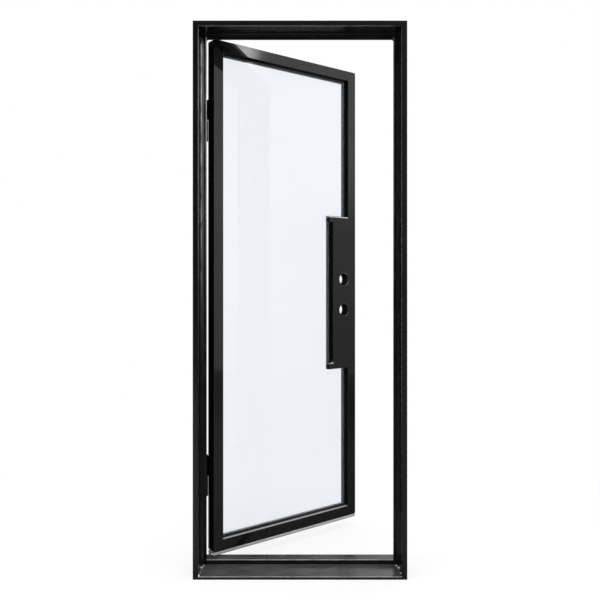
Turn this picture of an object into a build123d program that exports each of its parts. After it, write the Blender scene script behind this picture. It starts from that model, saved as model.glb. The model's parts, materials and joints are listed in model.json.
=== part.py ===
from build123d import *
import os

# Glazed steel door in its own steel frame, standing open away from the front.
# X runs along the wall, Y through it from front to back, Z up.
# The origin is the middle of the threshold's underside.

# Frame: rolled steel tube, mitred at the top corners
frame_width = 813.0
frame_height = 2118.0
frame_depth = 166.0
frame_face = 20.5
head_face = 18.5
frame_wall = 2.0
frame_edge_radius = 2.0

# Anchor holes through both walls of each jamb, behind the stop
anchor_radius = 5.0
anchor_outer_spacing = 1700.0
anchor_inner_spacing = 600.0

# Threshold: folded hollow section with a low front and a raised back
sill_low_height = 11.0
sill_high_height = 30.5
sill_step_lead = 2.0
sill_wall = 2.0
sill_edge_radius = 1.5

# Door stops, bars that slope out of the rabbet, and the rubber seal behind them
stop_depth = 25.0
stop_projection = 9.0
stop_lip = 1.0
stop_ridge_radius = 1.5
seal_depth = 7.7
seal_projection = 18.2
seal_corner_radius = 8.0
seal_leaf_gap = 0.3

# Leaf: square tube, mitred, hung between the jambs and opened away
leaf_tube = 44.5
leaf_wall = 2.0
leaf_edge_radius = 1.5
leaf_bore_radius = 0.8
leaf_corner_radius = 10.0
leaf_back_inset = 7.0
hinge_gap = 4.8
lock_gap = 7.0
head_gap = 5.8
leaf_sill_gap = 19.0
opening_angle = 38.0

# Lock box let into the lock stile, with lugs over the glass and its cross, edge and strike bores
lock_box_width = 136.0
lock_box_height = 690.0
lock_box_rise = 681.5
lock_box_wall = 2.0
lug_reach = 21.0
lug_height = 25.0
cross_bore_radius = 27.0
backset = 70.0
lever_rise = 947.0
deadbolt_spacing = 139.7
edge_bore_radius = 12.7
strike_bore_radius = 13.0

# Glazing: pane between fixed stops in front and removable beads behind
glass_thickness = 8.0
glass_edge_gap = 2.0
glass_notch_radius = 4.0
front_ledge = 15.5
front_stop_thickness = 3.0
front_stop_height = 7.0
box_stop_height = 2.5
bead_height = 8.0
box_bead_height = 4.0
gasket_thickness = 1.5
gasket_lip = 0.5
setting_block_length = 100.0
setting_block_shares = (0.25, 0.75)

# Barrel hinges: jamb half below, leaf half above, pin fixed in the jamb half
barrel_radius = 12.0
barrel_frame_gap = 0.5
barrel_chamfer = 1.2
knuckle_length = 82.0
hinge_cap = 6.0
hinge_top_drop = 316.0
hinge_bottom_rise = 295.8
wing_thickness = 2.0
wing_width = 51.0
wing_margin = 3.0
pin_radius = 6.0
pin_clearance = 0.05
pin_end_gap = 1.0
pin_chamfer = 1.0
washer_thickness = 2.0
washer_inset = 0.5
washer_clearance = 0.3
washer_leaf_gap = 0.1

# Sweep under the leaf: channel carrier with a flexible strip of two fins
sweep_inset = 1.5
carrier_height = 6.3
carrier_wall = 2.0
fin_base = 2.3
fin_thickness = 2.5
front_fin_drop = 13.0
sweep_gap = 0.5

# Faces and corners of the frame
frame_front = -frame_depth / 2
frame_back = frame_depth / 2
rabbet_x = frame_width / 2 - frame_face
rabbet_z = frame_height - head_face
leaf_back = frame_back - leaf_back_inset
leaf_front = leaf_back - leaf_tube
leaf_middle = leaf_back - leaf_tube / 2
seal_back = leaf_front - seal_leaf_gap
stop_back = seal_back - seal_depth
stop_front = stop_back - stop_depth
sill_step = leaf_front - sill_step_lead

# Size of the leaf and the places of its lock bores
leaf_bottom = sill_high_height + leaf_sill_gap
leaf_width = 2 * rabbet_x - hinge_gap - lock_gap
leaf_height = rabbet_z - head_gap - leaf_bottom
lock_box_top = lock_box_rise + lock_box_height
bore_along = leaf_width - backset
bore_rises = (lever_rise, lever_rise + deadbolt_spacing)

# Depths behind the front face of the leaf
front_stop_back = front_ledge + front_stop_thickness
glass_front = front_stop_back + gasket_thickness
glass_back = glass_front + glass_thickness
bead_front = glass_back + gasket_thickness
bead_depth = leaf_tube - leaf_edge_radius - bead_front

# The hinge axis stands in the middle of the hinge gap, just behind the frame
axis_x = -rabbet_x + hinge_gap / 2
axis_y = frame_back + barrel_frame_gap + barrel_radius
jamb_hinge = Plane(origin=(axis_x, axis_y, 0))
leaf_hinge = Plane(Location((axis_x, axis_y, 0), (0, 0, opening_angle)))
hinge_heights = {
    "upper": leaf_bottom + leaf_height - hinge_top_drop,
    "lower": leaf_bottom + hinge_bottom_rise,
}

# Planes of the opened leaf, all from its lower front corner on the hinge edge:
# leaf_base lies flat, leaf_face stands in its front face, leaf_end looks along it
leaf_corner = leaf_hinge.from_local_coords((hinge_gap / 2, leaf_front - axis_y, leaf_bottom))
leaf_base = Plane(origin=leaf_corner, x_dir=leaf_hinge.x_dir, z_dir=leaf_hinge.z_dir)
leaf_face = Plane(origin=leaf_corner, x_dir=leaf_hinge.x_dir, z_dir=-leaf_hinge.y_dir)
leaf_end = Plane(origin=leaf_corner, x_dir=leaf_hinge.y_dir, z_dir=leaf_hinge.x_dir)


def frame_mitre(x, z, lean_x, lean_z):
    """Mitre plane across the frame through one corner, its normal leaning outwards."""
    return Plane(origin=(x, 0, z), x_dir=(0, 1, 0), z_dir=(lean_x, 0, lean_z))


def leaf_mitre(along, rise, lean_along, lean_up):
    """Mitre plane across the leaf through one corner, its normal leaning outwards."""
    corner = leaf_face.from_local_coords((along, rise, 0))
    normal = leaf_face.x_dir * lean_along + leaf_face.y_dir * lean_up
    return Plane(origin=corner, x_dir=leaf_hinge.y_dir, z_dir=normal)


def tube(section_plane, width, depth, wall, radius, length, mitres):
    """Rolled rectangular tube along a plane's normal, cut at its mitres."""
    with BuildPart() as bar:
        with BuildSketch(section_plane):
            RectangleRounded(width, depth, radius)
            Rectangle(width - 2 * wall, depth - 2 * wall, mode=Mode.SUBTRACT)
        extrude(amount=length)
        for mitre in mitres:
            split(bisect_by=mitre, keep=Keep.BOTTOM)
    return bar.part


def stop_bar(section_plane, length, mitres):
    """Bevelled bar along a plane's normal, sloping out of the rabbet towards the leaf."""
    with BuildPart() as bar:
        with BuildSketch(section_plane) as bevel:
            Polygon((0, 0), (stop_lip, 0), (stop_projection, stop_depth), (0, stop_depth), align=None)
            fillet(bevel.vertices().sort_by(Axis.X)[-1], stop_ridge_radius)
        extrude(amount=length)
        for mitre in mitres:
            split(bisect_by=mitre, keep=Keep.BOTTOM)
    return bar.part


def leaf_core(section_plane, inset, radius, length, mitres):
    """Mitred square bar drawn in by an inset, within the leaf's outline with its rounded corners."""
    with BuildPart() as core:
        with BuildSketch(section_plane):
            RectangleRounded(leaf_tube - 2 * inset, leaf_tube - 2 * inset, radius)
        extrude(amount=length)
        for mitre in mitres:
            split(bisect_by=mitre, keep=Keep.BOTTOM)
        with BuildSketch(leaf_face):
            with Locations((leaf_width / 2, leaf_height / 2)):
                RectangleRounded(leaf_width - 2 * inset, leaf_height - 2 * inset, leaf_corner_radius - inset)
        extrude(amount=-leaf_tube, mode=Mode.INTERSECT)
    return core.part


def leaf_bar(section_plane, length, mitres):
    """Square tube of the leaf, its wall carried round the ground corners."""
    with BuildPart() as bar:
        add(leaf_core(section_plane, 0, leaf_edge_radius, length, mitres))
        add(leaf_core(section_plane, leaf_wall, leaf_bore_radius, length, mitres), mode=Mode.SUBTRACT)
    return bar.part


def glass_outline(inset, box_inset):
    """Corners of the glazed opening, notched round the lock box and drawn in by an inset,
    with an inset of its own above and below the box."""
    near = leaf_tube + inset
    far = leaf_width - leaf_tube - inset
    notch = leaf_width - lock_box_width - inset
    low = leaf_tube + inset
    high = leaf_height - leaf_tube - inset
    notch_low = lock_box_rise - box_inset
    notch_high = lock_box_top + box_inset
    return [
        (near, low),
        (far, low),
        (far, notch_low),
        (notch, notch_low),
        (notch, notch_high),
        (far, notch_high),
        (far, high),
        (near, high),
    ]


def glazing_bar(side, height, box_height, front, depth):
    """One mitred bar of the eight round the glass, from one corner of the outline to the next."""
    outer = glass_outline(0, 0)
    inner = glass_outline(height, box_height)
    after = (side + 1) % len(outer)
    with BuildPart() as bar:
        with BuildSketch(leaf_face.offset(-front)):
            Polygon(outer[side], outer[after], inner[after], inner[side], align=None)
        extrude(amount=-depth)
    return bar.part


def gasket_ring(height, box_height, front):
    """Flat gasket all round the glass, from the pane's edge to just past its bar."""
    with BuildPart() as ring:
        with BuildSketch(leaf_face.offset(-front)):
            Polygon(*glass_outline(glass_edge_gap, glass_edge_gap), align=None)
            Polygon(*glass_outline(height + gasket_lip, box_height + gasket_lip), align=None,
                    mode=Mode.SUBTRACT)
        extrude(amount=-gasket_thickness)
    return ring.part


def hinge_half(plane, wing_side):
    """Barrel of one hinge half, standing on a plane, with its wing plate towards the front."""
    with BuildPart() as half:
        with BuildSketch(plane):
            Circle(barrel_radius)
        extrude(amount=knuckle_length)
        chamfer(half.edges().filter_by(GeomType.CIRCLE), barrel_chamfer)
        with BuildSketch(plane.offset(wing_margin)):
            with Locations((wing_side * (hinge_gap / 2 - wing_thickness / 2), 0)):
                Rectangle(wing_thickness, wing_width, align=(Align.CENTER, Align.MAX))
        extrude(amount=knuckle_length - 2 * wing_margin)
    return half.part


def keep(name, piece):
    """Label a finished piece and write it to its own file."""
    piece.label = name
    export_step(piece, f"parts/{name}.step")


os.makedirs("parts", exist_ok=True)

# Jambs: flat tubes, mitred under the head, drilled for anchors behind the stop
jamb_middle = frame_width / 2 - frame_face / 2
anchor_rises = [
    frame_height / 2 + spacing / 2 * sign
    for spacing in (anchor_outer_spacing, anchor_inner_spacing)
    for sign in (-1, 1)
]

with BuildPart() as hinge_jamb:
    add(tube(Plane(origin=(-jamb_middle, 0, 0)), frame_face, frame_depth, frame_wall,
             frame_edge_radius, frame_height, [frame_mitre(-frame_width / 2, frame_height, head_face, frame_face)]))
    with BuildSketch(Plane.YZ.offset(-frame_width / 2)):
        with Locations(*[(leaf_middle, rise) for rise in anchor_rises]):
            Circle(anchor_radius)
    extrude(amount=frame_face, mode=Mode.SUBTRACT)
keep("hinge_jamb", hinge_jamb.part)

with BuildPart() as strike_jamb:
    add(tube(Plane(origin=(jamb_middle, 0, 0)), frame_face, frame_depth, frame_wall,
             frame_edge_radius, frame_height, [frame_mitre(frame_width / 2, frame_height, -head_face, frame_face)]))
    with BuildSketch(Plane.YZ.offset(rabbet_x)):
        with Locations(*[(leaf_middle, rise) for rise in anchor_rises]):
            Circle(anchor_radius)
    extrude(amount=frame_face, mode=Mode.SUBTRACT)
    with BuildSketch(Plane.YZ.offset(rabbet_x)):
        with Locations(*[(leaf_middle, leaf_bottom + rise) for rise in bore_rises]):
            Circle(strike_bore_radius)
    extrude(amount=frame_wall, mode=Mode.SUBTRACT)
keep("strike_jamb", strike_jamb.part)

# Head: a slimmer tube laid across, mitred at both ends
head_section = Plane(
    origin=(-frame_width / 2, 0, frame_height - head_face / 2), x_dir=(0, 1, 0), z_dir=(1, 0, 0)
)
with BuildPart() as head_jamb:
    add(tube(head_section, frame_depth, head_face, frame_wall, frame_edge_radius, frame_width,
             [frame_mitre(-frame_width / 2, frame_height, -head_face, -frame_face),
              frame_mitre(frame_width / 2, frame_height, head_face, -frame_face)]))
keep("head_jamb", head_jamb.part)

# Threshold: stepped hollow section between the jambs, its folds rounded
with BuildPart() as threshold:
    with BuildSketch(Plane.YZ.offset(-rabbet_x)) as sill_section:
        Polygon(
            (frame_front, 0),
            (frame_back, 0),
            (frame_back, sill_high_height),
            (sill_step, sill_high_height),
            (sill_step, sill_low_height),
            (frame_front, sill_low_height),
            align=None,
        )
        fillet(sill_section.vertices().filter_by(lambda corner: corner.Y > 0), sill_edge_radius)
        Polygon(
            (frame_front + sill_wall, sill_wall),
            (frame_back - sill_wall, sill_wall),
            (frame_back - sill_wall, sill_high_height - sill_wall),
            (sill_step + sill_wall, sill_high_height - sill_wall),
            (sill_step + sill_wall, sill_low_height - sill_wall),
            (frame_front + sill_wall, sill_low_height - sill_wall),
            align=None,
            mode=Mode.SUBTRACT,
        )
    extrude(amount=2 * rabbet_x)
keep("threshold", threshold.part)

# Stops: bevelled bars on the rabbet faces, mitred at the head
stop_height = rabbet_z - sill_low_height
hinge_stop_section = Plane(origin=(-rabbet_x, stop_front, sill_low_height))
strike_stop_section = Plane(origin=(rabbet_x, stop_front, rabbet_z), x_dir=(-1, 0, 0), z_dir=(0, 0, -1))
head_stop_section = Plane(origin=(-rabbet_x, stop_front, rabbet_z), x_dir=(0, 0, -1), z_dir=(1, 0, 0))
with BuildPart() as hinge_stop:
    add(stop_bar(hinge_stop_section, stop_height, [frame_mitre(-rabbet_x, rabbet_z, 1, 1)]))
keep("hinge_stop", hinge_stop.part)

with BuildPart() as strike_stop:
    add(stop_bar(strike_stop_section, stop_height, [frame_mitre(rabbet_x, rabbet_z, -1, 1)]))
keep("strike_stop", strike_stop.part)

with BuildPart() as head_stop:
    add(stop_bar(head_stop_section, 2 * rabbet_x,
                 [frame_mitre(-rabbet_x, rabbet_z, -1, -1), frame_mitre(rabbet_x, rabbet_z, 1, -1)]))
keep("head_stop", head_stop.part)

# Seal: one round-nosed rubber extrusion, run up, over and down behind the stop
seal_foot = Plane(origin=(-rabbet_x, stop_back, sill_high_height))
nose_radius = seal_depth / 2
with BuildPart() as frame_seal:
    with BuildLine(Plane.XZ.offset(-stop_back)):
        FilletPolyline(
            (-rabbet_x, sill_high_height),
            (-rabbet_x, rabbet_z),
            (rabbet_x, rabbet_z),
            (rabbet_x, sill_high_height),
            radius=seal_corner_radius + seal_projection,
        )
    with BuildSketch(seal_foot):
        Rectangle(seal_projection - nose_radius, seal_depth, align=(Align.MIN, Align.MIN))
        with Locations((seal_projection - nose_radius, nose_radius)):
            Circle(nose_radius)
    sweep()
keep("frame_seal", frame_seal.part)

# Stiles and rails of the leaf: square tube, mitred at the four corners
tube_middle = leaf_tube / 2
hinge_stile_section = Plane(leaf_base.location * Location((tube_middle, tube_middle, 0)))
lock_stile_section = Plane(leaf_base.location * Location((leaf_width - tube_middle, tube_middle, 0)))
bottom_rail_section = Plane(leaf_end.location * Location((tube_middle, tube_middle, 0)))
top_rail_section = Plane(leaf_end.location * Location((tube_middle, leaf_height - tube_middle, 0)))

with BuildPart() as hinge_stile:
    add(leaf_bar(hinge_stile_section, leaf_height,
                 [leaf_mitre(0, 0, 1, -1), leaf_mitre(0, leaf_height, 1, 1)]))
keep("hinge_stile", hinge_stile.part)

with BuildPart() as lower_lock_stile:
    add(leaf_bar(lock_stile_section, lock_box_rise, [leaf_mitre(leaf_width, 0, -1, -1)]))
keep("lower_lock_stile", lower_lock_stile.part)

with BuildPart() as upper_lock_stile:
    add(leaf_bar(lock_stile_section.offset(lock_box_top), leaf_height - lock_box_top,
                 [leaf_mitre(leaf_width, leaf_height, -1, 1)]))
keep("upper_lock_stile", upper_lock_stile.part)

with BuildPart() as bottom_rail:
    add(leaf_bar(bottom_rail_section, leaf_width,
                 [leaf_mitre(0, 0, -1, 1), leaf_mitre(leaf_width, 0, 1, 1)]))
keep("bottom_rail", bottom_rail.part)

with BuildPart() as top_rail:
    add(leaf_bar(top_rail_section, leaf_width,
                 [leaf_mitre(0, leaf_height, -1, -1), leaf_mitre(leaf_width, leaf_height, 1, -1)]))
keep("top_rail", top_rail.part)

# Lock box: folded sheet box with closed ends, a lug at each end that laps over the glass,
# cross bored for bolt and lever and bored at its edge
box_middle = leaf_width - lock_box_width / 2
box_foot = Plane(leaf_base.location * Location((box_middle, tube_middle, lock_box_rise)))
lock_edge = Plane(leaf_end.location * Location((tube_middle, 0, leaf_width)))
lug_root = leaf_width - lock_box_width + leaf_edge_radius
with BuildPart() as lock_box:
    with BuildSketch(box_foot):
        RectangleRounded(lock_box_width, leaf_tube, leaf_edge_radius)
    extrude(amount=lock_box_height)
    with BuildSketch(leaf_face):
        with Locations((lug_root, lock_box_rise), (lug_root, lock_box_top - lug_height)):
            Rectangle(lug_reach + leaf_edge_radius, lug_height, align=(Align.MAX, Align.MIN))
    extrude(amount=-front_ledge)
    with BuildSketch(box_foot.offset(lock_box_wall)):
        Rectangle(lock_box_width - 2 * lock_box_wall, leaf_tube - 2 * lock_box_wall)
    extrude(amount=lock_box_height - 2 * lock_box_wall, mode=Mode.SUBTRACT)
    with BuildSketch(leaf_face):
        with Locations(*[(bore_along, rise) for rise in bore_rises]):
            Circle(cross_bore_radius)
    extrude(amount=-leaf_tube, mode=Mode.SUBTRACT)
    with BuildSketch(lock_edge):
        with Locations(*[(0, rise) for rise in bore_rises]):
            Circle(edge_bore_radius)
    extrude(amount=-lock_box_wall, mode=Mode.SUBTRACT)
keep("lock_box", lock_box.part)

# Pane: clear glass notched round the lock box, with rounded inner corners
with BuildPart() as glass_pane:
    with BuildSketch(leaf_face.offset(-glass_front)) as pane_outline:
        Polygon(*glass_outline(glass_edge_gap, glass_edge_gap), align=None)
        inner_corners = pane_outline.vertices().group_by(Axis.X)[1]
        fillet(inner_corners, glass_notch_radius)
    extrude(amount=-glass_thickness)
keep("glass_pane", glass_pane.part)

# Setting blocks: two hard pads that carry the pane on the bottom rail
with BuildPart() as setting_blocks:
    glazed_width = leaf_width - 2 * leaf_tube
    with BuildSketch(leaf_face.offset(-glass_front)):
        with Locations(*[(leaf_tube + glazed_width * share, leaf_tube) for share in setting_block_shares]):
            Rectangle(setting_block_length, glass_edge_gap, align=(Align.CENTER, Align.MIN))
    extrude(amount=-glass_thickness)
keep("setting_blocks", setting_blocks.part)

# Glazing bars: fixed stops in front of the glass and removable beads behind it
bar_sides = [
    "bottom",
    "lower_lock",
    "box_bottom",
    "box_side",
    "box_top",
    "upper_lock",
    "top",
    "hinge",
]
for side, side_name in enumerate(bar_sides):
    keep(f"front_stop_{side_name}",
         glazing_bar(side, front_stop_height, box_stop_height, front_ledge, front_stop_thickness))
    keep(f"back_bead_{side_name}",
         glazing_bar(side, bead_height, box_bead_height, bead_front, bead_depth))

keep("front_gasket", gasket_ring(front_stop_height, box_stop_height, front_stop_back))
keep("back_gasket", gasket_ring(bead_height, box_bead_height, glass_back))

# Hinges: jamb half with the pin fixed in it, washer, and the leaf half that turns on the pin
bore_depth = knuckle_length - hinge_cap
for place, height in hinge_heights.items():
    jamb_top = height - washer_thickness / 2
    washer_top = height + washer_thickness / 2
    leaf_foot = washer_top + washer_leaf_gap

    with BuildPart() as jamb_half:
        add(hinge_half(jamb_hinge.offset(jamb_top - knuckle_length), -1))
        with BuildSketch(jamb_hinge.offset(jamb_top)):
            Circle(pin_radius + pin_clearance)
        extrude(amount=-bore_depth, mode=Mode.SUBTRACT)
    keep(f"{place}_hinge_jamb_half", jamb_half.part)

    with BuildPart() as leaf_half:
        add(hinge_half(leaf_hinge.offset(leaf_foot), 1))
        with BuildSketch(leaf_hinge.offset(leaf_foot)):
            Circle(pin_radius + pin_clearance)
        extrude(amount=bore_depth, mode=Mode.SUBTRACT)
    keep(f"{place}_hinge_leaf_half", leaf_half.part)

    with BuildPart() as hinge_pin:
        with BuildSketch(jamb_hinge.offset(jamb_top - bore_depth)):
            Circle(pin_radius)
        extrude(amount=leaf_foot - jamb_top + 2 * bore_depth - pin_end_gap)
        chamfer(hinge_pin.edges().sort_by(Axis.Z)[-1], pin_chamfer)
    keep(f"{place}_hinge_pin", hinge_pin.part)

    with BuildPart() as hinge_washer:
        with BuildSketch(jamb_hinge.offset(jamb_top)):
            Circle(barrel_radius - washer_inset)
            Circle(pin_radius + washer_clearance, mode=Mode.SUBTRACT)
        extrude(amount=washer_thickness)
    keep(f"{place}_hinge_washer", hinge_washer.part)

# Sweep: channel under the bottom rail and the finned strip that it holds
channel_inner = leaf_tube - 2 * sweep_inset - 2 * carrier_wall
rear_fin_drop = leaf_sill_gap - sweep_gap
with BuildPart() as sweep_carrier:
    with BuildSketch(leaf_end):
        with Locations((tube_middle, 0)):
            Rectangle(leaf_tube - 2 * sweep_inset, carrier_height, align=(Align.CENTER, Align.MAX))
        with Locations((tube_middle, -carrier_wall)):
            Rectangle(channel_inner, carrier_height, align=(Align.CENTER, Align.MAX), mode=Mode.SUBTRACT)
    extrude(amount=leaf_width)
keep("sweep_carrier", sweep_carrier.part)

with BuildPart() as sweep_fin:
    with BuildSketch(leaf_end):
        with Locations((tube_middle, -carrier_wall)):
            Rectangle(channel_inner, fin_base, align=(Align.CENTER, Align.MAX))
        with Locations((tube_middle - channel_inner / 2, -carrier_wall)):
            Rectangle(fin_thickness, front_fin_drop - carrier_wall, align=(Align.MIN, Align.MAX))
        with Locations((tube_middle + channel_inner / 2, -carrier_wall)):
            Rectangle(fin_thickness, rear_fin_drop - carrier_wall, align=(Align.MAX, Align.MAX))
    extrude(amount=leaf_width)
keep("sweep_fin", sweep_fin.part)
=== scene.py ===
import bmesh
import bpy
import json
import math
from mathutils import Matrix, Vector


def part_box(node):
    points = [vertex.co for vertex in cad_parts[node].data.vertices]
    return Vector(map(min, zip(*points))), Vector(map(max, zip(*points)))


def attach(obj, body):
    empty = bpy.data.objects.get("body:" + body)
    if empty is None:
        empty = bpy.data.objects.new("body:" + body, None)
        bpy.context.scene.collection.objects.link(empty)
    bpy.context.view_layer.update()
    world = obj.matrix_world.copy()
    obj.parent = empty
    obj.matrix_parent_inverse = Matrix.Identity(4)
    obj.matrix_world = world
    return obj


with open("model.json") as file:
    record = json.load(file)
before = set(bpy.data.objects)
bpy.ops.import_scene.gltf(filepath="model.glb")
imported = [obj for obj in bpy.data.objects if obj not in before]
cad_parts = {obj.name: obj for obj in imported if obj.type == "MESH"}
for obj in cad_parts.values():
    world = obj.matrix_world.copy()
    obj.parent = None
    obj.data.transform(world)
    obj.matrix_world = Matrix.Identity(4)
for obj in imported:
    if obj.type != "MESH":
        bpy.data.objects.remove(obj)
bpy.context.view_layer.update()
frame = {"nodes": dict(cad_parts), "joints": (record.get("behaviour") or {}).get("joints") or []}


# Jambs and head: flat rolled steel tube, welded at the mitres, ground smooth and powder coated
# semi-gloss black. The sheet is never quite flat, so long reflections wander along it. Its inner
# front edges carry a painted highlight, a pale line strongest high up on the hinge side.
class Wire:
    """One socket of a node tree; sums and products on it become Math nodes."""

    def __init__(self, tree, socket):
        self.tree = tree
        self.socket = socket

    def node(self, kind, settings=None, sockets=None, output=0):
        """Adds any other node: its settings first, then the values or links of its sockets."""
        made = self.tree.nodes.new(kind)
        for name, value in (settings or {}).items():
            setattr(made, name, value)
        for name, value in (sockets or {}).items():
            if isinstance(value, Wire):
                self.tree.links.new(value.socket, made.inputs[name])
            else:
                made.inputs[name].default_value = value
        return Wire(self.tree, made.outputs[output])

    def maths(self, operation, first, second=0.0):
        """One Math node on two values or wires."""
        return self.node("ShaderNodeMath", {"operation": operation}, {0: first, 1: second})

    def __add__(self, other):
        return self.maths("ADD", self, other)

    def __radd__(self, other):
        return self.maths("ADD", other, self)

    def __sub__(self, other):
        return self.maths("SUBTRACT", self, other)

    def __rsub__(self, other):
        return self.maths("SUBTRACT", other, self)

    def __mul__(self, other):
        return self.maths("MULTIPLY", self, other)

    def __rmul__(self, other):
        return self.maths("MULTIPLY", other, self)

    def __truediv__(self, other):
        return self.maths("DIVIDE", self, other)

    def __rtruediv__(self, other):
        return self.maths("DIVIDE", other, self)

    def __abs__(self):
        return self.maths("ABSOLUTE", self)

    def larger(self, other):
        """The larger of this value and another."""
        return self.maths("MAXIMUM", self, other)

    def between(self, low, high):
        """0 below the low value, 1 above the high one, smooth between them."""
        return self.node(
            "ShaderNodeMapRange",
            {"interpolation_type": "SMOOTHSTEP"},
            {"Value": self, "From Min": low, "From Max": high},
        )

    def over(self, under, colour):
        """A colour laid over what is under it, as far as this value says."""
        return self.node(
            "ShaderNodeMix",
            {"data_type": "RGBA"},
            {"Factor": self, 6: under, 7: (*colour, 1.0)},
            output=2,
        )

    def tint(self, first, second):
        """A colour that goes from the first to the second as this value goes from 0 to 1."""
        return self.over((*first, 1.0), second)

    def bump(self, strength, distance):
        """The normal of a surface with this height."""
        return self.node(
            "ShaderNodeBump", sockets={"Height": self, "Strength": strength, "Distance": distance}
        )

    def noise(self, scale, detail=2.0, roughness=0.5):
        """Noise over these coordinates, about 0.5 in the middle."""
        return self.node(
            "ShaderNodeTexNoise",
            sockets={"Vector": self, "Scale": scale, "Detail": detail, "Roughness": roughness},
        )

    def stretched(self, scale):
        """These coordinates drawn out along each axis."""
        return self.node("ShaderNodeMapping", sockets={"Vector": self, "Scale": scale})

    def axis(self, letter):
        """One axis of these coordinates."""
        return self.node("ShaderNodeSeparateXYZ", sockets={"Vector": self}, output=letter)

    def along(self, direction):
        """How far these coordinates lie along a direction."""
        return self.node(
            "ShaderNodeVectorMath", {"operation": "DOT_PRODUCT"}, {0: self, 1: direction}, output=1
        )

    def distance(self, point):
        """How far these coordinates lie from a point."""
        return self.node(
            "ShaderNodeVectorMath", {"operation": "DISTANCE"}, {0: self, 1: point}, output=1
        )

    def facing_up(self):
        """1 where the surface faces up, 0 where it is upright."""
        return self.node("ShaderNodeNewGeometry", output="Normal").axis("Z")


def object_coordinates(tree):
    """The coordinates that every finish is laid out in."""
    return Wire(tree, tree.nodes.new("ShaderNodeTexCoord").outputs["Object"])


def new_finish(name, fixed, changing):
    """A material whose shader has fixed values, and wires made from the object coordinates."""
    finish = bpy.data.materials.new(name)
    finish.use_nodes = True
    tree = finish.node_tree
    shader = tree.nodes["Principled BSDF"]
    for socket, value in fixed.items():
        shader.inputs[socket].default_value = value
    for socket, wire in changing(object_coordinates(tree)).items():
        tree.links.new(wire.socket, shader.inputs[socket])
    return finish


def dress(finish, *nodes):
    """Puts a finish on the CAD nodes that carry it."""
    for node in nodes:
        skin = frame["nodes"][node]
        skin.data.materials.clear()
        skin.data.materials.append(finish)


def powder_coat(dark, rubbed, gloss, waviness, dust_and_sheen):
    """The changing sockets of black powder coat: two blacks, roughness, waves, and pale ledges that
    are dust, and on the bottom rail also a painted highlight.
    """
    ledge_grey = (0.42, 0.42, 0.41)

    def changing(place):
        # Pale on upward faces: settled dust, and on the bottom rail also a painted highlight.
        ledge_dust_and_sheen = place.facing_up().between(0.80, 0.98)
        ledge_dust_and_sheen = ledge_dust_and_sheen * (place.noise(40.0, 4.0, 0.6) * 0.5 + 0.65) * dust_and_sheen
        peel = place.noise(650.0, 1.0)
        waves = place.stretched((5.0, 5.0, 1.3)).noise(2.2, 1.0)
        patches = place.noise(7.0, 6.0, 0.62).between(0.38, 0.72)
        dust = place.noise(260.0, 3.0, 0.7).between(0.62, 0.80)
        black = (patches * 0.7 + dust * 0.3).tint(dark, rubbed)
        return {
            "Base Color": ledge_dust_and_sheen.over(black, ledge_grey),
            "Roughness": gloss + patches * 0.03 + dust * 0.02 + ledge_dust_and_sheen * 0.25,
            "Normal": (waves * waviness + peel * 0.002).bump(1.0, 0.004),
        }

    return changing


frame_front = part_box("hinge_jamb")[0].y
rabbet_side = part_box("threshold")[1].x
rabbet_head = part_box("head_jamb")[0].z
edge_soft = 0.0004
edge_reach = 0.011
edge_fade = 0.004
edge_highlight_colour = (0.75, 0.75, 0.74)
strike_highlight_share = 0.42
head_highlight_share = 0.24


def frame_coat(place):
    coat = powder_coat(
        dark=(0.0026, 0.0026, 0.0028),
        rubbed=(0.0048, 0.0048, 0.0050),
        gloss=0.18,
        waviness=0.04,
        dust_and_sheen=0.15,
    )(place)
    across, depth, rise = place.axis("X"), place.axis("Y"), place.axis("Z")
    beside = abs(across).between(rabbet_side - edge_soft, rabbet_side + edge_soft)
    above = rise.between(rabbet_head - edge_soft, rabbet_head + edge_soft)
    behind = depth.between(frame_front + edge_reach, frame_front + edge_reach + edge_fade)
    strike_side = across.between(0.30, 0.38)
    head_side = rise.between(rabbet_head - 0.008, rabbet_head - 0.003)
    # Painted highlight: a pale line on the inner front edges, fading down the hinge jamb, fainter
    # on the strike jamb and head.
    hinge_highlight = (1.0 - strike_side) * (rise.between(0.85, 2.05) * 0.9 + 0.1)
    strike_highlight = strike_side * rise.between(0.2, 1.0) * strike_highlight_share
    edge_highlight = (1.0 - beside.larger(above)) * (1.0 - behind)
    edge_highlight = edge_highlight * (hinge_highlight + strike_highlight) * (1.0 - head_side * (1.0 - head_highlight_share))
    edge_highlight = edge_highlight * place.noise(30.0, 4.0).between(0.15, 0.6)
    coat["Base Color"] = edge_highlight.over(coat["Base Color"], edge_highlight_colour)
    return coat


frame_black = new_finish("frame_paint", {"IOR": 1.5, "Specular IOR Level": 0.4}, frame_coat)
dress(frame_black, "hinge_jamb", "strike_jamb", "head_jamb")


# Threshold: folded hollow section in the same black coat. Shoes have rubbed it dull in patches.
# Its upward faces are paler, partly scuffing and partly painted reflection, and its two folded
# edges carry a painted highlight.
sill_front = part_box("threshold")[0].y
sill_step = 0.0295
sill_low = 0.011
sill_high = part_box("threshold")[1].z
fold_reach = 0.003
fold_fade = 0.002


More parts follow.
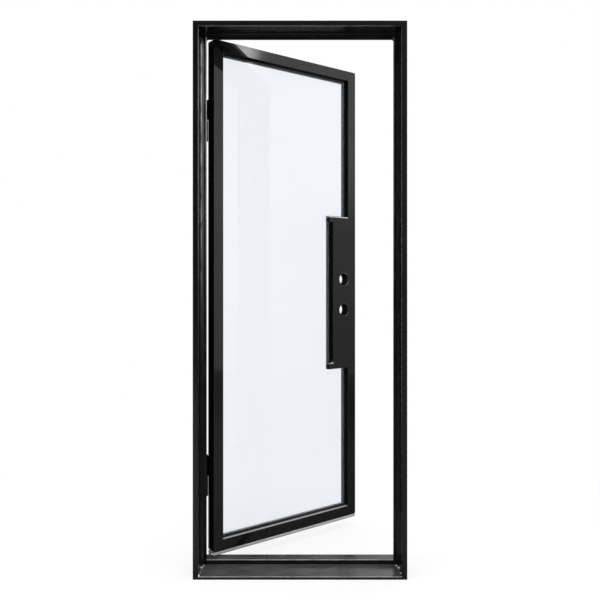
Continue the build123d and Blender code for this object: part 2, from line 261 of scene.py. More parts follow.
def trodden(place):
    depth, rise = place.axis("Y"), place.axis("Z")
    front_fold = (sill_front + fold_reach - depth).between(0.0, fold_fade)
    front_fold = front_fold * rise.between(sill_low - 0.0018, sill_low - 0.0006)
    step_fold = (sill_step + fold_reach - depth).between(0.0, fold_fade)
    step_fold = step_fold * rise.between(sill_high - 0.0025, sill_high - 0.0008)
    pale_breakup = place.noise(25.0, 4.0, 0.6).between(0.30, 0.62) * 0.5 + 0.5
    traffic = place.stretched((3.0, 9.0, 3.0)).noise(2.0, 4.0, 0.6).between(0.35, 0.70)
    scratches = place.stretched((6.0, 160.0, 6.0)).noise(1.6, 3.0, 0.6).between(0.60, 0.78)
    tread = place.facing_up().between(0.5, 0.95)
    low_tread = 1.0 - rise.between(sill_low + 0.004, sill_high - 0.004)
    # Upward faces paler: scuffs from feet, and partly a painted reflection on the flats.
    scuff_and_sheen = tread * (traffic * 0.08 + scratches * 0.04 + low_tread * 0.045 + 0.085)
    # Painted highlight along the two folded edges.
    fold_highlight = (front_fold + step_fold) * pale_breakup
    grain = place.noise(500.0, 2.0)
    return {
        "Base Color": (scuff_and_sheen + fold_highlight).tint((0.0035, 0.0035, 0.0037), (0.40, 0.40, 0.39)),
        "Roughness": 0.17 + traffic * 0.10 + scratches * 0.08,
        "Normal": (grain + traffic * 0.6).bump(0.35, 0.0005),
    }


sill_black = new_finish("threshold_paint", {"IOR": 1.5}, trodden)
dress(sill_black, "threshold")


# Sill seams: a run of weld joins the low part of the threshold to each jamb, from the front edge
# back to the stop and along its foot. It was laid by hand after the grinding, so its ripples show
# through the coat, and a few crowns are rubbed down to bright steel.
def placed(name, data):
    """A new object in the scene for a mesh, a lamp or a camera."""
    thing = bpy.data.objects.new(name, data)
    bpy.context.scene.collection.objects.link(thing)
    return thing


def grown(name, tree, lines, sizes, body):
    """Runs a tree over guide lines with their outward direction; keeps a plain mesh on a body."""
    guide_mesh = bpy.data.meshes.new(name)
    points = []
    edges = []
    outward = []
    for line, away in lines:
        edges += [(len(points) + step, len(points) + step + 1) for step in range(len(line) - 1)]
        points += line
        outward += [away] * len(line)
    guide_mesh.from_pydata(points, edges, [])
    attribute = guide_mesh.attributes.new("outward", "FLOAT_VECTOR", "POINT")
    for entry, away in zip(attribute.data, outward):
        entry.vector = away
    guide = placed(f"{name}_guide", guide_mesh)
    modifier = guide.modifiers.new("grown", "NODES")
    modifier.node_group = tree
    for item in tree.interface.items_tree:
        if item.name in sizes:
            modifier[item.identifier] = sizes[item.name]
    depsgraph = bpy.context.evaluated_depsgraph_get()
    mesh = bpy.data.meshes.new_from_object(guide.evaluated_get(depsgraph), depsgraph=depsgraph)
    bpy.data.objects.remove(guide)
    piece = placed(name, mesh)
    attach(piece, body)


def new_tree(name, inputs):
    """A geometry tree with named inputs: returns it and a wire for each input."""
    tree = bpy.data.node_groups.new(name, "GeometryNodeTree")
    tree.interface.new_socket("Geometry", in_out="OUTPUT", socket_type="NodeSocketGeometry")
    for label, kind in {"Geometry": "NodeSocketGeometry", **inputs}.items():
        tree.interface.new_socket(label, in_out="INPUT", socket_type=kind)
    entry = tree.nodes.new("NodeGroupInput")
    return tree, {label: Wire(tree, entry.outputs[label]) for label in ("Geometry", *inputs)}


def outward_turn(path):
    """The turn that stands a thing up along its guide line's outward direction."""
    outward = path.node(
        "GeometryNodeInputNamedAttribute", {"data_type": "FLOAT_VECTOR"}, {"Name": "outward"}
    )
    return path.node("FunctionNodeAlignRotationToVector", {"axis": "Z"}, {"Vector": outward})


def end_tree(shape, finish):
    """Closes a tree: real geometry, smooth shading, one material, out."""
    real = shape.node("GeometryNodeRealizeInstances", sockets={"Geometry": shape})
    smooth = shape.node("GeometryNodeSetShadeSmooth", sockets={"Geometry": real})
    painted = shape.node(
        "GeometryNodeSetMaterial", sockets={"Geometry": smooth, "Material": finish}
    )
    out = shape.tree.nodes.new("NodeGroupOutput")
    shape.tree.links.new(painted.socket, out.inputs["Geometry"])


weld_tree, weld = new_tree(
    "weld_run",
    {
        "Ripple Radius": "NodeSocketFloat",
        "Ripple Pitch": "NodeSocketFloat",
        "Seed": "NodeSocketInt",
        "Finish": "NodeSocketMaterial",
    },
)
weld_line = weld["Geometry"].node(
    "GeometryNodeMeshToCurve", sockets={"Mesh": weld["Geometry"]}
)
weld_path = weld_line.node(
    "GeometryNodeResampleCurve",
    {"mode": "LENGTH"},
    {"Curve": weld_line, "Length": weld["Ripple Pitch"]},
)
ripple = weld_path.node(
    "GeometryNodeMeshIcoSphere", sockets={"Radius": weld["Ripple Radius"], "Subdivisions": 2}
)
ripple_size = weld_path.node(
    "FunctionNodeRandomValue",
    {"data_type": "FLOAT_VECTOR"},
    {0: (0.78, 0.78, 0.70), 1: (1.12, 1.12, 1.0), "Seed": weld["Seed"]},
)
ripples = weld_path.node(
    "GeometryNodeInstanceOnPoints",
    sockets={
        "Points": weld_path,
        "Instance": ripple,
        "Rotation": outward_turn(weld_path),
        "Scale": ripple_size,
    },
)
end_tree(ripples, weld["Finish"])

stop_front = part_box("hinge_stop")[0].y
seam_start = sill_front + 0.0055
seam_bend = stop_front - 0.002
seam_end = stop_front + 0.021
seam_foot = rabbet_side - 0.007


def rubbed_weld(place):
    depth = place.axis("Y")
    by_stop = depth.between(stop_front - 0.020, stop_front - 0.008)
    by_front = 1.0 - depth.between(sill_front + 0.006, sill_front + 0.010)
    strike_side = place.axis("X").between(0.0, 0.1)
    crowns = place.noise(110.0, 3.0, 0.6) + (by_stop + by_front) * 0.11 - strike_side * 0.035
    bright = crowns.between(0.55, 0.60)
    return {
        "Base Color": bright.tint((0.012, 0.012, 0.0125), (0.80, 0.79, 0.77)),
        "Metallic": bright * 0.3,
        "Roughness": 0.34 - bright * 0.06,
        "Normal": place.noise(1500.0, 2.0).bump(0.3, 0.0003),
    }


seam_finish = new_finish("rubbed_weld", {"IOR": 1.5}, rubbed_weld)
for post, side, seed in (("hinge", -1, 4), ("strike", 1, 9)):
    seam_line = [
        (side * rabbet_side, seam_start, sill_low),
        (side * rabbet_side, seam_bend, sill_low),
        (side * seam_foot, seam_end, sill_low),
    ]
    grown(
        f"sill_seam_{post}",
        weld_tree,
        [(seam_line, (-side * 0.7, 0.0, 0.7))],
        {"Ripple Radius": 0.0042, "Ripple Pitch": 0.0026, "Seed": seed, "Finish": seam_finish},
        "frame",
    )


# Stops: solid steel bars with a bevelled face, cut to the rabbet and welded on along their back
# edge. They were coated with the frame, a little rougher in the corner. Both edges of the hinge
# side's bar carry a painted highlight, pale streaky lines above the middle.
stop_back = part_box("hinge_stop")[1].y
stop_edge = 0.0022
stop_edge_end = 0.0034


def stop_coat(place):
    coat = powder_coat(
        dark=(0.0026, 0.0026, 0.0028),
        rubbed=(0.0050, 0.0050, 0.0052),
        gloss=0.36,
        waviness=0.06,
        dust_and_sheen=0.0,
    )(place)
    across, depth, rise = place.axis("X"), place.axis("Y"), place.axis("Z")
    front_edge = 1.0 - depth.between(stop_front + stop_edge, stop_front + stop_edge_end)
    back_edge = depth.between(stop_back - stop_edge_end, stop_back - stop_edge)
    hinge_side = 1.0 - across.between(-0.36, -0.34)
    highlight_height = rise.between(0.8, 1.95) - rise.between(2.04, 2.07)
    streaks = place.stretched((1.0, 1.0, 0.2)).noise(60.0, 3.0).between(0.30, 0.65)
    # Painted highlight: pale lines along both edges of the hinge side's stop, above the middle.
    edge_highlight = (front_edge + back_edge) * hinge_side * highlight_height * streaks
    coat["Base Color"] = edge_highlight.over(coat["Base Color"], (0.58, 0.58, 0.575))
    return coat


stop_black = new_finish("stop_paint", {"IOR": 1.5}, stop_coat)
dress(stop_black, "hinge_stop", "strike_stop", "head_stop")


# Seal: one round-nosed strip of extruded black rubber, pushed in behind the stop and bent round
# the head corners. Its satin skin has a faint bloom and drag lines along its length. A greyer
# line along the nose is a painted highlight, strongest up the hinge side.
seal_nose = rabbet_side - 0.0182


def seal_skin(place):
    across, rise = place.axis("X"), place.axis("Z")
    bloom = place.noise(18.0, 5.0, 0.6).between(0.4, 0.75)
    drag = place.stretched((900.0, 900.0, 12.0)).noise(1.0, 2.0)
    on_nose = 1.0 - abs(across).between(seal_nose + 0.0025, seal_nose + 0.0045)
    upright = abs(across).between(seal_nose - 0.0015, seal_nose - 0.0005)
    heel_side = 1.0 - across.between(-0.3, 0.3) * 0.7
    # Painted highlight: a greyer line along the nose, strongest up the hinge side.
    nose_highlight = on_nose * upright * heel_side * rise.between(0.85, 1.75) * (0.6 + bloom * 0.4)
    return {
        "Base Color": (bloom * 0.018 + nose_highlight).tint((0.002, 0.002, 0.0022), (0.40, 0.40, 0.398)),
        "Roughness": 0.27 + bloom * 0.12,
        "Normal": drag.bump(0.3, 0.0003),
    }


seal_rubber = new_finish("seal_rubber", {"IOR": 1.5, "Specular IOR Level": 0.28}, seal_skin)
dress(seal_rubber, "frame_seal")


# Hinges: turned steel barrels with weld-on wings, coated black with the frame. The pin and the
# washer between the two knuckles are left bare, steel and brass, and shine a little at the seam.
hinge_coat = powder_coat(
    dark=(0.0028, 0.0028, 0.0030),
    rubbed=(0.006, 0.006, 0.006),
    gloss=0.40,
    waviness=0.12,
    dust_and_sheen=0.1,
)
hinge_black = new_finish("hinge_paint", {"IOR": 1.5, "Specular IOR Level": 0.15}, hinge_coat)


def turned_steel(place):
    lathe_lines = place.stretched((4.0, 4.0, 2500.0)).noise(1.0, 2.0)
    oil = place.noise(120.0, 4.0).between(0.45, 0.7)
    return {
        "Base Color": oil.tint((0.50, 0.50, 0.49), (0.26, 0.25, 0.23)),
        "Roughness": 0.24 + lathe_lines * 0.12 + oil * 0.08,
        "Normal": lathe_lines.bump(0.25, 0.0002),
    }


def worn_brass(place):
    tarnish = place.noise(160.0, 5.0, 0.6).between(0.4, 0.7)
    return {
        "Base Color": tarnish.tint((0.66, 0.45, 0.17), (0.28, 0.17, 0.06)),
        "Roughness": 0.26 + tarnish * 0.22,
    }


pin_steel = new_finish("pin_steel", {"Metallic": 1.0}, turned_steel)
washer_brass = new_finish("washer_brass", {"Metallic": 1.0}, worn_brass)
for level in ("upper", "lower"):
    dress(hinge_black, f"{level}_hinge_jamb_half", f"{level}_hinge_leaf_half")
    dress(pin_steel, f"{level}_hinge_pin")
    dress(washer_brass, f"{level}_hinge_washer")


# Hinge welds: each wing is welded round its three free edges, the lower wing to the jamb and the
# upper one to the edge of the leaf. The runs are coated over, so they are all black.
swing = frame["joints"][0]
opening = math.radians(38.0)
at_axis = Matrix.Translation(Vector(swing["pos_m"]))
at_open_axis = at_axis @ Matrix.Rotation(opening, 4, "Z")
wing_face = 0.0024
wing_reach = 0.051
wing_margin = 0.003
frame_lip = -0.0135

for level, seed in (("upper", 21), ("lower", 33)):
    for half, at, side, body in (("jamb", at_axis, -1, "frame"), ("leaf", at_open_axis, 1, "leaf")):
        lowest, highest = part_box(f"{level}_hinge_{half}_half")
        foot = lowest.z + wing_margin
        head = highest.z - wing_margin
        wing_edge = [(frame_lip, foot), (-wing_reach, foot), (-wing_reach, head), (frame_lip, head)]
        wing_line = [at @ Vector((side * wing_face, depth, rise)) for depth, rise in wing_edge]
        grown(
            f"{level}_hinge_{half}_weld",
            weld_tree,
            [(wing_line, at.to_3x3() @ Vector((-side, 0.0, 0.0)))],
            {"Ripple Radius": 0.0020, "Ripple Pitch": 0.0013, "Seed": seed, "Finish": hinge_black},
            body,
        )


# Stiles and rails: square steel tube, mitred, welded and ground flush, in a slightly glossier
# coat than the frame's. The ledge of the bottom rail is pale, partly dust and partly painted
# highlight.
leaf_blacks = {
    "dark": (0.0028, 0.0028, 0.0030),
    "rubbed": (0.0050, 0.0050, 0.0052),
    "gloss": 0.05,
    "waviness": 0.08,
}
leaf_dust = 0.18
# The bottom rail's ledge is made much paler: dust, and partly a painted highlight.
rail_dust_and_sheen = 1.10
leaf_coat = powder_coat(**leaf_blacks, dust_and_sheen=leaf_dust)
leaf_black = new_finish("leaf_paint", {"IOR": 1.5}, leaf_coat)
dust_and_sheen_coat = powder_coat(**leaf_blacks, dust_and_sheen=rail_dust_and_sheen)
dust_and_sheen_black = new_finish("bottom_rail_paint", {"IOR": 1.5}, dust_and_sheen_coat)
dress(leaf_black, "hinge_stile", "lower_lock_stile", "upper_lock_stile", "top_rail")
dress(dust_and_sheen_black, "bottom_rail")


# Lock box: folded sheet, welded into the lock stile and bored through twice for the lock. Its top
# fold carries a painted highlight, a pale band, and there is a pale dash low on its side. The spray
# has not reached inside round the bores. The saw left a fine burr round each bore, chipped to bare
# steel in places and paler at its lower right, partly chipped paint and partly painted highlight.
leaf_front = -0.064
leaf_bottom = 0.0495
at_leaf = at_open_axis @ Matrix.Translation((wing_face, leaf_front, leaf_bottom))
leaf_tube = 0.0445
leaf_width = 0.7602
box_sheet = 0.002
lock_box_width = 0.136
lock_box_top = 1.3715
side_dash_rise = 0.7087
bore_along = 0.6902
bore_rises = {"lever": 0.9470, "deadbolt": 1.0867}
bore_radius = 0.027
along_leaf = at_leaf.to_3x3() @ Vector((1.0, 0.0, 0.0))
into_leaf = at_leaf.to_3x3() @ Vector((0.0, 1.0, 0.0))
leaf_start = at_leaf.translation.dot(along_leaf)
leaf_face = at_leaf.translation.dot(into_leaf)
lock_box_side = leaf_start + leaf_width - lock_box_width
lock_stile_side = leaf_start + leaf_width - leaf_tube
fold_rise = leaf_bottom + lock_box_top
sheet_skin = box_sheet * 0.7
sheet_back = box_sheet * 0.9


def box_coat(place):
    coat = powder_coat(**leaf_blacks, dust_and_sheen=leaf_dust)(place)
    along, rise = place.along(along_leaf), place.axis("Z")
    # Painted highlight: a pale band along the top fold of the box.
    top_fold = rise.between(fold_rise - 0.0048, fold_rise - 0.0030)
    top_fold = top_fold * (1.0 - along.between(lock_stile_side - 0.004, lock_stile_side))
    # A pale dash low on the side of the box.
    side_dash = 1.0 - abs(rise - (leaf_bottom + side_dash_rise)).between(0.0022, 0.0040)
    side_dash = side_dash * (1.0 - along.between(lock_box_side + 0.0008, lock_box_side + 0.0018))
    depth = place.along(into_leaf) - leaf_face
    behind_front = depth.between(sheet_skin, sheet_back)
    behind_back = depth.between(leaf_tube - sheet_back, leaf_tube - sheet_skin)
    inside = behind_front - behind_back
    flat = place.node("ShaderNodeCombineXYZ", sockets={"X": along, "Z": rise})
    for bore_rise in bore_rises.values():
        off_axis = flat.distance((leaf_start + bore_along, 0.0, leaf_bottom + bore_rise))
        unsprayed = inside * (1.0 - off_axis.between(bore_radius + 0.025, bore_radius + 0.035))
        coat["Roughness"] = coat["Roughness"] + unsprayed * 0.65
    pale_breakup = place.noise(45.0, 4.0, 0.6).between(0.35, 0.60)
    fold_highlight_and_dash = (top_fold + side_dash) * (0.55 + pale_breakup * 0.45)
    coat["Base Color"] = fold_highlight_and_dash.over(coat["Base Color"], (0.66, 0.66, 0.65))
    return coat


def burr_chips_and_highlight(place):
    along, rise = place.along(along_leaf), place.axis("Z")
    # Each burr is paler at its lower right, partly chipped paint and partly painted highlight.
    right_half = along.between(leaf_start + bore_along, leaf_start + bore_along + 0.012)
    under = 0.0
    for bore_rise in bore_rises.values():
        drop = (leaf_bottom + bore_rise - 0.020) - rise
        under = 1.0 - abs(drop).between(0.009, 0.014) + under
    chips_and_highlight = (place.noise(95.0, 4.0, 0.65) + right_half * under * 0.20).between(0.55, 0.62)
    return {
        "Base Color": chips_and_highlight.tint((0.016, 0.016, 0.0165), (0.55, 0.54, 0.52)),
        "Metallic": chips_and_highlight,
        "Roughness": 0.30 + chips_and_highlight * 0.08,
    }


def ring(shape, steps, radius, laid):
    """A ring of corners in a shape; laid puts each point of the flat circle in its place."""
    turns = [math.tau * step / steps for step in range(steps)]
    circle = [(radius * math.cos(turn), radius * math.sin(turn)) for turn in turns]
    return [shape.verts.new(laid(x, y)) for x, y in circle]


def band(shape, inner, outer, flipped=False):
    """The faces between two rings with as many corners."""
    for step in range(len(inner)):
        after = (step + 1) % len(inner)
        corners = (inner[step], inner[after], outer[after], outer[step])
        shape.faces.new(corners[::-1] if flipped else corners)


def kept_mesh(name, shape):
    """The plain mesh of a finished shape."""
    mesh = bpy.data.meshes.new(name)
    shape.to_mesh(mesh)
    shape.free()
    return mesh


dress(new_finish("lock_box_paint", {"IOR": 1.5}, box_coat), "lock_box")
burr_finish = new_finish("burr_chips_and_highlight", {"IOR": 1.5}, burr_chips_and_highlight)
burr_steps = 64
burr_profile = [(0.0, -0.0016), (0.0, 0.0002), (0.0004, 0.0005), (0.0011, 0.0004), (0.0016, 0.0)]
for bore, rise in bore_rises.items():
    burr = bmesh.new()
    for face_depth, outward in ((0.0, -1.0), (leaf_tube, 1.0)):
        rings = []
        for out, proud in burr_profile:
            depth = face_depth + outward * proud
            rings.append(ring(
                burr, burr_steps, bore_radius + out,
                lambda x, z: at_leaf @ Vector((bore_along + x, depth, rise + z)),
            ))
        for inner, outer in zip(rings, rings[1:]):
            band(burr, inner, outer, flipped=outward > 0)
    for face in burr.faces:
        face.smooth = True
    burr_mesh = kept_mesh(f"{bore}_bore_burr", burr)
    burr_mesh.materials.append(burr_finish)
    burr_piece = placed(f"{bore}_bore_burr", burr_mesh)
    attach(burr_piece, "leaf")


# Pane: one sheet of clear float glass, notched round the lock box. It is faintly blue, with the
# haze of a wipe across it.
def float_glass(place):
    wipe = place.stretched((1.0, 1.0, 0.35)).noise(6.0, 4.0, 0.6).between(0.45, 0.85)
    return {
        "Base Color": wipe.tint((0.900, 0.926, 0.974), (0.894, 0.921, 0.970)),
        "Roughness": wipe * 0.012,
    }


clear_body = {"IOR": 1.3, "Specular IOR Level": 0.3, "Transmission Weight": 0.94}
clear_glass = new_finish("clear_glass", clear_body, float_glass)
dress(clear_glass, "glass_pane")


# Gaskets and setting blocks: the pane sits on two hard pads and is gripped between two flat
# strips of black rubber.
def gasket_skin(place):
    bloom = place.noise(30.0, 4.0).between(0.4, 0.7)
    return {
        "Base Color": bloom.tint((0.008, 0.008, 0.0085), (0.018, 0.018, 0.0185)),
        "Roughness": 0.55 + bloom * 0.12,
    }


def block_plastic(place):
    return {"Base Color": place.noise(60.0, 3.0).tint((0.05, 0.05, 0.052), (0.085, 0.085, 0.088))}


gasket_rubber = new_finish("gasket_rubber", {"IOR": 1.5}, gasket_skin)
dress(gasket_rubber, "front_gasket", "back_gasket")
dress(new_finish("setting_block_plastic", {"Roughness": 0.45}, block_plastic), "setting_blocks")


# Glazing bars: eight fixed stops in front of the glass and eight beads behind it, cut from flat
# bar, mitred and coated with the leaf. Dust has settled on the beads, which are wiped less often.
bar_blacks = {
    "dark": (0.0024, 0.0024, 0.0026),
    "rubbed": (0.0046, 0.0046, 0.0048),
    "gloss": 0.20,
    "waviness": 0.10,
}
bar_sides = (
    "bottom", "lower_lock", "box_bottom", "box_side", "box_top", "upper_lock", "top", "hinge"
)
for bar, paint, dust_and_sheen in (("front_stop", "bar_paint", 0.0), ("back_bead", "bead_paint", 0.95)):
    bar_black = new_finish(paint, {"IOR": 1.5}, powder_coat(**bar_blacks, dust_and_sheen=dust_and_sheen))
    dress(bar_black, *[f"{bar}_{side}" for side in bar_sides])


# Bead screws: blackened pan heads with a cross recess, driven through the beads into the tube at
# even steps, so that the pane can be taken out from the back.
head_radius = 0.0034
head_rise = 0.0016
head_steps = 20
head_profile = [(1.0, 0.0), (1.0, 0.35), (0.90, 0.72), (0.68, 1.0)]
recess_reach = 0.0017
recess_half = 0.00042
recess_depth = 0.0010
recess_taper = 0.8

head_shape = bmesh.new()
rims = []
for share, rise in head_profile:
    rims.append(ring(
        head_shape, head_steps, head_radius * share, lambda x, y: (x, y, head_rise * rise)
    ))
for lower, upper in zip(rims, rims[1:]):
    band(head_shape, lower, upper)
cross = [
    (recess_reach, -recess_half), (recess_reach, recess_half), (recess_half, recess_half),
    (recess_half, recess_reach), (-recess_half, recess_reach), (-recess_half, recess_half),
    (-recess_reach, recess_half), (-recess_reach, -recess_half), (-recess_half, -recess_half),
    (-recess_half, -recess_reach), (recess_half, -recess_reach), (recess_half, -recess_half),
]
mouth = [head_shape.verts.new((x, y, head_rise)) for x, y in cross]
recess_floor = [
    head_shape.verts.new((x * recess_taper, y * recess_taper, head_rise - recess_depth))
    for x, y in cross
]
crown = rims[-1]
mouth_edges = [head_shape.edges.new((mouth[at], mouth[at - 1])) for at in range(len(mouth))]
crown_edges = [head_shape.edges.get((crown[at], crown[at - 1])) for at in range(len(crown))]
bmesh.ops.triangle_fill(head_shape, use_beauty=True, edges=mouth_edges + crown_edges)
for at in range(len(mouth)):
    head_shape.faces.new((mouth[at - 1], mouth[at], recess_floor[at], recess_floor[at - 1]))
head_shape.faces.new(recess_floor)
bmesh.ops.recalc_face_normals(head_shape, faces=head_shape.faces)
screw_head = placed("screw_head", kept_mesh("screw_head", head_shape))

screw_tree, screws = new_tree(
    "bead_screws",
    {
        "Spacing": "NodeSocketFloat",
        "Head": "NodeSocketObject",
        "Finish": "NodeSocketMaterial",
        "Seed": "NodeSocketInt",
    },
)
bead_lines = screws["Geometry"].node(
    "GeometryNodeMeshToCurve", sockets={"Mesh": screws["Geometry"]}
)
gap_count = bead_lines.maths(
    "ROUND", bead_lines.node("GeometryNodeSplineLength") / screws["Spacing"]
)
screw_places = bead_lines.node(
    "GeometryNodeResampleCurve",
    {"mode": "COUNT"},
    {"Curve": bead_lines, "Count": gap_count.larger(1.0) + 1.0},
)
driven_angle = screw_places.node(
    "FunctionNodeRandomValue",
    {"data_type": "FLOAT"},
    {2: 0.0, 3: math.pi, "Seed": screws["Seed"]},
    output=1,
)
driven_turn = screw_places.node(
    "FunctionNodeAxisAngleToRotation",
    sockets={"Axis": (0.0, 0.0, 1.0), "Angle": driven_angle},
)
head_turn = screw_places.node(
    "FunctionNodeRotateRotation",
    {"rotation_space": "LOCAL"},
    {"Rotation": outward_turn(screw_places), "Rotate By": driven_turn},
)
head_form = screw_places.node(
    "GeometryNodeObjectInfo", sockets={"Object": screws["Head"]}, output="Geometry"
)
heads = screw_places.node(
    "GeometryNodeInstanceOnPoints",
    sockets={"Points": screw_places, "Instance": head_form, "Rotation": head_turn},
)
end_tree(heads, screws["Finish"])


def blackened_steel(place):
    rub = place.noise(420.0, 3.0).between(0.5, 0.72)
    return {
        "Base Color": rub.tint((0.035, 0.035, 0.037), (0.16, 0.16, 0.16)),
        "Roughness": 0.32 + rub * 0.10,
    }


screw_black = new_finish("blackened_screws", {"Metallic": 1.0}, blackened_steel)
leaf_height = 2.0442
lock_box_rise = 0.6815
bead_height = 0.008
box_bead_height = 0.004
bead_depth = 0.0365
margin = 0.045
lug_margin = 0.020
box_margin = 0.030
near = leaf_tube + bead_height
far = leaf_width - leaf_tube - bead_height
notch = leaf_width - lock_box_width - bead_height
low = leaf_tube + bead_height
high = leaf_height - leaf_tube - bead_height
notch_low = lock_box_rise - box_bead_height
notch_high = lock_box_top + box_bead_height
bead_runs = [
    ((near + margin, low), (far - margin, low), (0.0, 1.0)),
    ((far, low + margin), (far, notch_low - margin), (-1.0, 0.0)),
    ((far - lug_margin, notch_low), (notch + box_margin, notch_low), (0.0, -1.0)),
    ((notch, notch_low + margin), (notch, notch_high - margin), (-1.0, 0.0)),
    ((far - lug_margin, notch_high), (notch + box_margin, notch_high), (0.0, 1.0)),
    ((far, notch_high + margin), (far, high - margin), (-1.0, 0.0)),
    ((near + margin, high), (far - margin, high), (0.0, -1.0)),
    ((near, low + margin), (near, high - margin), (1.0, 0.0)),
]
grown(
    "bead_screws",
    screw_tree,
    [
        (
            [at_leaf @ Vector((along, bead_depth, rise)) for along, rise in (start, end)],
            at_leaf.to_3x3() @ Vector((away[0], 0.0, away[1])),
        )
        for start, end, away in bead_runs
    ],
    {"Spacing": 0.21, "Head": screw_head, "Finish": screw_black, "Seed": 7},
    "leaf",
)
bpy.data.objects.remove(screw_head)


# Sweep: a light grey vinyl channel under the bottom rail holds a softer strip with two fins. It is
# the only pale thing on the door, a little soiled near the floor.
def vinyl(clean, soiled):
    def changing(place):
        soil = place.noise(14.0, 5.0, 0.62).between(0.42, 0.78)
        drawn = place.stretched((30.0, 30.0, 900.0)).noise(1.0, 2.0)
        return {
            "Base Color": soil.tint(clean, soiled),
            "Roughness": 0.42 + soil * 0.14,
            "Normal": drawn.bump(0.2, 0.0002),
        }

    return changing


channel_vinyl = vinyl(clean=(0.46, 0.46, 0.45), soiled=(0.36, 0.36, 0.35))
fin_vinyl = vinyl(clean=(0.31, 0.31, 0.305), soiled=(0.24, 0.24, 0.235))
dress(new_finish("sweep_carrier_plastic", {"IOR": 1.5}, channel_vinyl), "sweep_carrier")
dress(new_finish("sweep_fin_rubber", {"IOR": 1.5}, fin_vinyl), "sweep_fin")


# Floor: a plain white sheet of paper under the frame. It fades into the background and keeps a
# soft shadow of the door.
def white_to_the_eye(tree):
    """1 for rays from the camera, off gloss and through glass, 0 for light that falls on things."""
    path = tree.nodes.new("ShaderNodeLightPath")
    rays = ("Is Camera Ray", "Is Glossy Ray", "Is Transmission Ray")
    seen, glossy, through = [Wire(tree, path.outputs[ray]) for ray in rays]
    return seen.larger(glossy.larger(through))


def blank_finish(name):
    """A material with no shader yet: returns it and its object coordinates."""
    finish = bpy.data.materials.new(name)
    finish.use_nodes = True
    tree = finish.node_tree
    tree.nodes.remove(tree.nodes["Principled BSDF"])
    return finish, object_coordinates(tree)


def surface(finish, look):
    """Makes a shader the whole look of a material."""
    out = finish.node_tree.nodes["Material Output"]
    finish.node_tree.links.new(look.socket, out.inputs["Surface"])


def sheet(name, reach, rise):
    """A flat square mesh round the door."""
    mesh = bpy.data.meshes.new(name)
    corners = ((-reach, -reach), (reach, -reach), (reach, reach), (-reach, reach))
    mesh.from_pydata([(x, y, rise) for x, y in corners], [], [(0, 1, 2, 3)])
    return mesh


paper, paper_place = blank_finish("floor_paper")
paper_eye = white_to_the_eye(paper.node_tree)
paper_far = paper_place.distance((0.0, 0.0, 0.0)).between(0.7, 2.2)
paper_look = paper_eye.node(
    "ShaderNodeMixShader",
    sockets={
        "Fac": paper_eye * (0.78 + paper_far * 0.22),
        1: paper_eye.node("ShaderNodeBsdfDiffuse", sockets={"Color": (0.86, 0.86, 0.86, 1.0)}),
        2: paper_eye.node(
            "ShaderNodeEmission", sockets={"Color": (1.0, 1.0, 1.0, 1.0), "Strength": 1.0}
        ),
    },
)
surface(paper, paper_look)
floor_mesh = sheet("floor", reach=60.0, rise=0.0)
floor_mesh.materials.append(paper)
floor_piece = placed("floor", floor_mesh)


# Studio: white all round to the eye, with soft light on the object, dark cloth on the floor and
# dark flags round it that only gloss sees, so that the black coat has something dark to mirror.
world = bpy.data.worlds.new("studio")
bpy.context.scene.world = world
world.use_nodes = True
world_tree = world.node_tree
backdrop = world_tree.nodes["Background"]
backdrop.inputs["Color"].default_value = (1.0, 1.0, 1.0, 1.0)
world_eye = white_to_the_eye(world_tree)
world_tree.links.new((world_eye * 0.05 + 0.95).socket, backdrop.inputs["Strength"])


def only_gloss_sees(name, mesh, cloth, light):
    """Keeps a flag out of the picture and out of the light; reflections alone show it."""
    tree = cloth.node_tree
    mirrored = Wire(tree, tree.nodes.new("ShaderNodeLightPath").outputs["Glossy Depth"])
    look = mirrored.node(
        "ShaderNodeMixShader",
        sockets={
            "Fac": mirrored.between(0.2, 0.8),
            1: mirrored.node("ShaderNodeBsdfTransparent"),
            2: mirrored.node("ShaderNodeEmission", sockets={"Color": light, "Strength": 1.0}),
        },
    )
    surface(cloth, look)
    mesh.materials.append(cloth)
    piece = placed(name, mesh)
    piece.visible_camera = False
    piece.visible_diffuse = False
    piece.visible_volume_scatter = False
    piece.visible_shadow = False


flag_radius = 5.5
flag_height = 9.0
flag_sides = 96
flags = bmesh.new()
flag_foot = ring(flags, flag_sides, flag_radius, lambda x, y: (x, y, 0.0))
flag_head = ring(flags, flag_sides, flag_radius, lambda x, y: (x, y, flag_height))
band(flags, flag_foot, flag_head, flipped=True)
flag_mesh = kept_mesh("flags", flags)

flag_cloth, flag_place = blank_finish("flag_cloth")
flag_across, flag_depth, flag_rise = [flag_place.axis(letter) for letter in "XYZ"]
flag_ahead = 0.0 - flag_depth
flag_front = flag_ahead.between(2.4, 3.8)
flag_right = flag_across.between(-0.2, 1.6) * (1.0 - flag_front)
flag_back = flag_depth.between(0.3, 2.0)
flag_near = flag_ahead.between(0.5, 1.9) * (1.0 - flag_rise.between(1.6, 2.8))
flag_side_light = (
    0.36
    + flag_rise.between(0.2, 1.4) * 0.18
    + flag_rise.between(1.6, 2.5) * 0.58
    + flag_near * 0.38
)
flag_back_light = flag_rise.between(0.3, 2.5) * 1.15
flag_front_light = 0.05 + flag_across.between(-0.7, 1.2) * 0.21
flag_cloth_light = (
    flag_right * (flag_side_light * (1.0 - flag_back) + flag_back_light * flag_back)
    + flag_front * flag_front_light
    + 0.02
)
flag_window = flag_depth.between(0.9, 1.9) - flag_depth.between(3.4, 4.4)
flag_window = flag_across.between(2.2, 3.4) * flag_window * flag_rise.between(0.6, 2.0)
flag_spot = 1.0 - flag_place.distance((5.22, -1.70, 3.93)).between(0.0, 0.28)
flag_top = flag_rise.between(5.2, flag_height)
flag_light = (
    flag_spot * 10.0 + flag_window * 2.4 + flag_cloth_light * (1.0 - flag_top) + flag_top
)
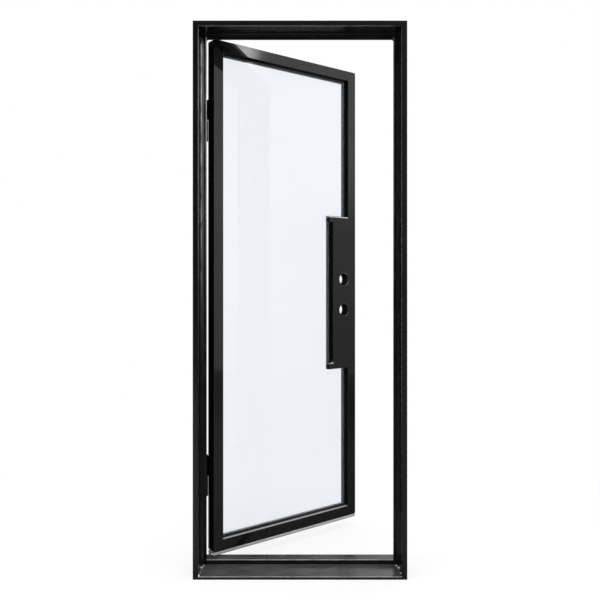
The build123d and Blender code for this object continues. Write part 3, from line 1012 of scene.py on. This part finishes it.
only_gloss_sees("flags", flag_mesh, flag_cloth, flag_light)

floor_cloth, cloth_place = blank_finish("floor_cloth")
cloth_across = cloth_place.axis("X")
cloth_ahead = 0.0 - cloth_place.axis("Y")
cloth_left = 1.0 - cloth_across.between(0.1, 0.7) * 0.60
cloth_near = 1.0 - cloth_across.between(1.5, 3.0) * 0.55
cloth_light = (
    cloth_ahead.between(-0.9, -0.2) * cloth_near * 0.17
    + cloth_ahead.between(0.0, 0.5) * cloth_left * 0.38
    + 0.03
)
cloth_mesh = sheet("floor_cloth", reach=5.4, rise=0.0005)
only_gloss_sees("floor_cloth", cloth_mesh, floor_cloth, cloth_light)


def softbox(name, power, width, height, place, aim, mirrored):
    """A rectangular soft lamp, out of the camera's sight, mirrored in the gloss or not."""
    lamp = bpy.data.lights.new(name, "AREA")
    lamp.shape = "RECTANGLE"
    lamp.size = width
    lamp.size_y = height
    lamp.energy = power
    stand = placed(name, lamp)
    stand.location = place
    stand.rotation_euler = (Vector(aim) - Vector(place)).to_track_quat("-Z", "Y").to_euler()
    stand.visible_camera = False
    stand.visible_transmission = False
    stand.visible_glossy = mirrored


softbox(
    "overhead", power=70.0, width=2.6, height=2.6,
    place=(0.0, -0.5, 4.6), aim=(0.0, 0.1, 0.0), mirrored=True,
)
softbox(
    "right_window", power=24.0, width=0.8, height=2.0,
    place=(2.6, 1.85, 2.3), aim=(-0.4, -0.05, 1.6), mirrored=False,
)
softbox(
    "left_bank", power=12.0, width=1.2, height=2.4,
    place=(-3.2, -1.6, 2.0), aim=(0.0, 0.2, 1.2), mirrored=True,
)
softbox(
    "front_key", power=42.0, width=0.8, height=1.6,
    place=(0.25, -4.2, 1.5), aim=(0.0, 0.3, 1.1), mirrored=False,
)


# Camera: level, square on to the frame, about 2.6 m in front of it at chest height. The picture is
# framed a little below the horizon by the lens shift.
picture_pixels = 600.0
focal_pixels = 696.0
horizon_above_middle = 22.0
eye_back = 2.718
eye_rise = 1.1425
eye = bpy.data.cameras.new("eye")
eye.sensor_width = 36.0
eye.lens = eye.sensor_width * focal_pixels / picture_pixels
eye.shift_y = -horizon_above_middle / picture_pixels
camera = placed("eye", eye)
camera.location = (0.0, -eye_back, eye_rise)
camera.rotation_euler = (math.radians(90.0), 0.0, 0.0)
bpy.context.scene.camera = camera

bpy.context.scene.view_settings.view_transform = "Standard"
